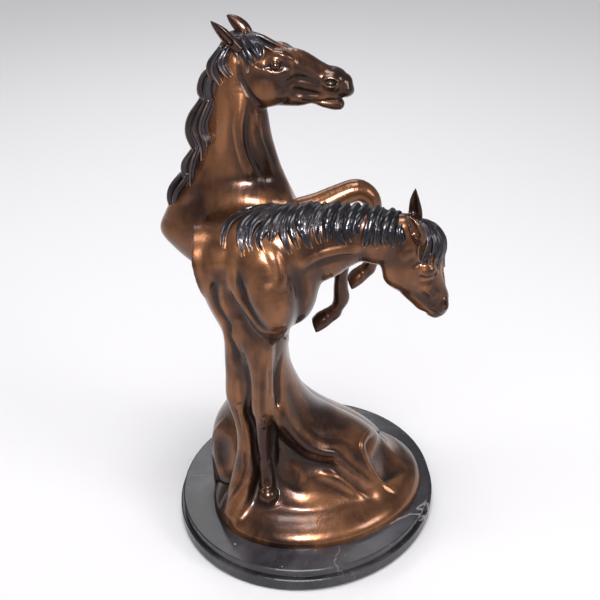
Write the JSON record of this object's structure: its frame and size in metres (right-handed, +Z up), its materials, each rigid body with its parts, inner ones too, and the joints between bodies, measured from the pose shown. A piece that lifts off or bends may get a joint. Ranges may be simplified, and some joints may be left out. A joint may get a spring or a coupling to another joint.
{
  "type": "bronze horse statue",
  "caption": "Tabletop bronze of two half-length horses, one rearing behind one bowing, nested on a flowing foot and an oval marble base.",
  "frame": {"origin": "centre of the underside of the base, on the surface the statue stands on", "axes": "+Z up, +X the way both heads look, -Y the show side"},
  "size_m": [0.3441, 0.34, 0.634],
  "materials": {
    "bronze": "cast bronze, warm brown chemical patina, waxed",
    "dark_bronze": "cast bronze, near-black patina with rubbed coppery ridges",
    "marble": "polished black marble with fine pale veins and specks",
    "felt": "green wool felt glued under the slab",
    "brass": "as cast, tapped",
    "steel": "zinc plated"
  },
  "bodies": {
    "root": {"marble_base": "marble", "base_felt": "felt", "front_body": "bronze", "front_neck_head": "bronze", "front_mane": "dark_bronze", "front_forelock": "dark_bronze", "front_near_ear": "bronze", "front_far_ear": "bronze", "rear_body": "bronze", "rear_neck_head": "bronze", "rear_mane": "dark_bronze", "rear_forelock": "dark_bronze", "rear_near_ear": "bronze", "rear_far_ear": "bronze", "rear_near_foreleg": "bronze", "rear_far_foreleg": "bronze", "front_strap": "steel", "rear_lugs": "brass", "studs": "steel", "washers": "steel", "nuts": "steel", "seam_dowels": "steel"}
  },
  "joints": []
}
